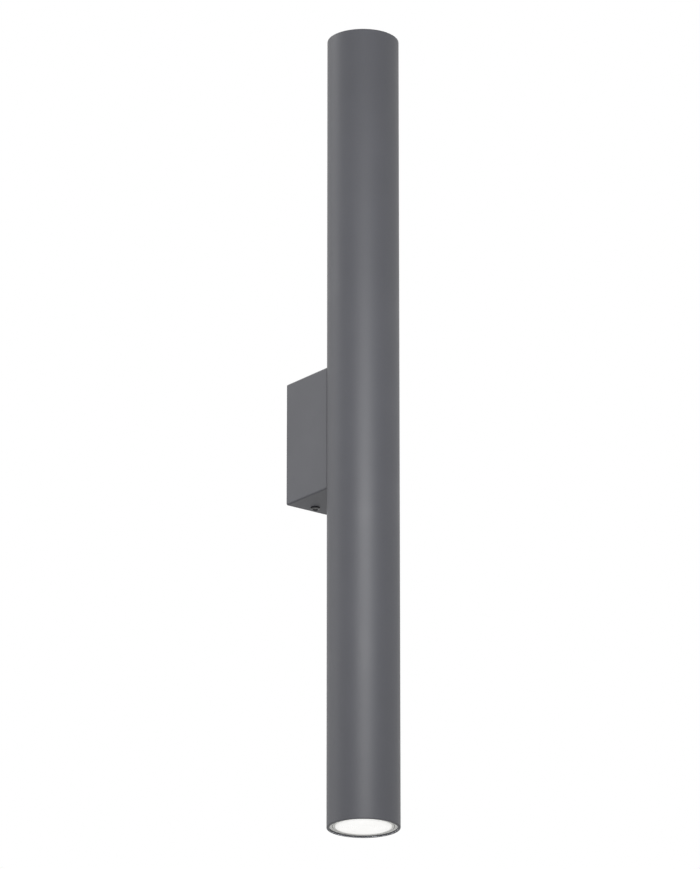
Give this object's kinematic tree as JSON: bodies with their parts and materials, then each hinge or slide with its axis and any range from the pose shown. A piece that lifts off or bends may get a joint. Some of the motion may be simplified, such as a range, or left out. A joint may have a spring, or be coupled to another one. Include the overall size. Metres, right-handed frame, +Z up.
{
  "type": "tube wall light",
  "caption": "Long round tube wall light that shines up and down, carried at mid-height by a rectangular wall box with a saddle front.",
  "frame": {"origin": "centre of the wall bracket's back face, midway between its two wall-screw holes", "axes": "+Z up along the tube, +Y into the wall, so the front of the light faces -Y and the wall is the plane y = 0"},
  "size_m": [0.06, 0.105, 0.686],
  "materials": {
    "anthracite_coat": "matte",
    "zinc_steel": "satin",
    "black_screw": "satin",
    "brass_part": "satin",
    "black_rubber": "matte",
    "white_plastic": "satin",
    "holder_ceramic": "matte",
    "lead_sleeve": "matte",
    "earth_sleeve": "matte",
    "frosted_lens": "matte",
    "nickel_pin": "satin"
  },
  "bodies": {
    "fixture": {"tube": "anthracite_coat", "wall_box": "anthracite_coat", "wall_bracket": "zinc_steel", "cover_screw_upper": "black_screw", "cover_screw_lower": "black_screw", "cable_grommet": "black_rubber", "terminal_body": "white_plastic", "terminal_inserts": "brass_part", "terminal_clamp_screws": "zinc_steel", "terminal_block_screws": "zinc_steel", "earth_screw": "brass_part", "earth_washer": "zinc_steel", "earth_lug": "nickel_pin", "earth_lead": "earth_sleeve", "tube_screws": "zinc_steel", "tube_washer": "zinc_steel", "tube_lug": "nickel_pin", "tube_earth_lead": "earth_sleeve", "tube_nuts": "zinc_steel", "wire_bush": "black_rubber", "carrier_strap": "zinc_steel", "holder_upper": "holder_ceramic", "holder_lower": "holder_ceramic", "holder_screws_upper": "zinc_steel", "holder_screws_lower": "zinc_steel", "end_ring_upper": "white_plastic", "end_ring_lower": "white_plastic", "leads_upper": "lead_sleeve", "leads_lower": "lead_sleeve"},
    "lamp_upper": {"lamp_shell_upper": "white_plastic", "lamp_lens_upper": "frosted_lens", "lamp_base_upper": "holder_ceramic", "lamp_pins_upper": "nickel_pin"},
    "lamp_lower": {"lamp_shell_lower": "white_plastic", "lamp_lens_lower": "frosted_lens", "lamp_base_lower": "holder_ceramic", "lamp_pins_lower": "nickel_pin"}
  },
  "joints": [
    {"name": "lamp_upper_twist", "type": "hinge", "parent": "fixture", "child": "lamp_upper", "pos_m": [0, -0.075, 0.3], "axis": [0, 0, 1], "range_deg": [0, 28]},
    {"name": "lamp_lower_twist", "type": "hinge", "parent": "fixture", "child": "lamp_lower", "pos_m": [0, -0.075, -0.3], "axis": [0, 0, -1], "range_deg": [0, 28]}
  ]
}
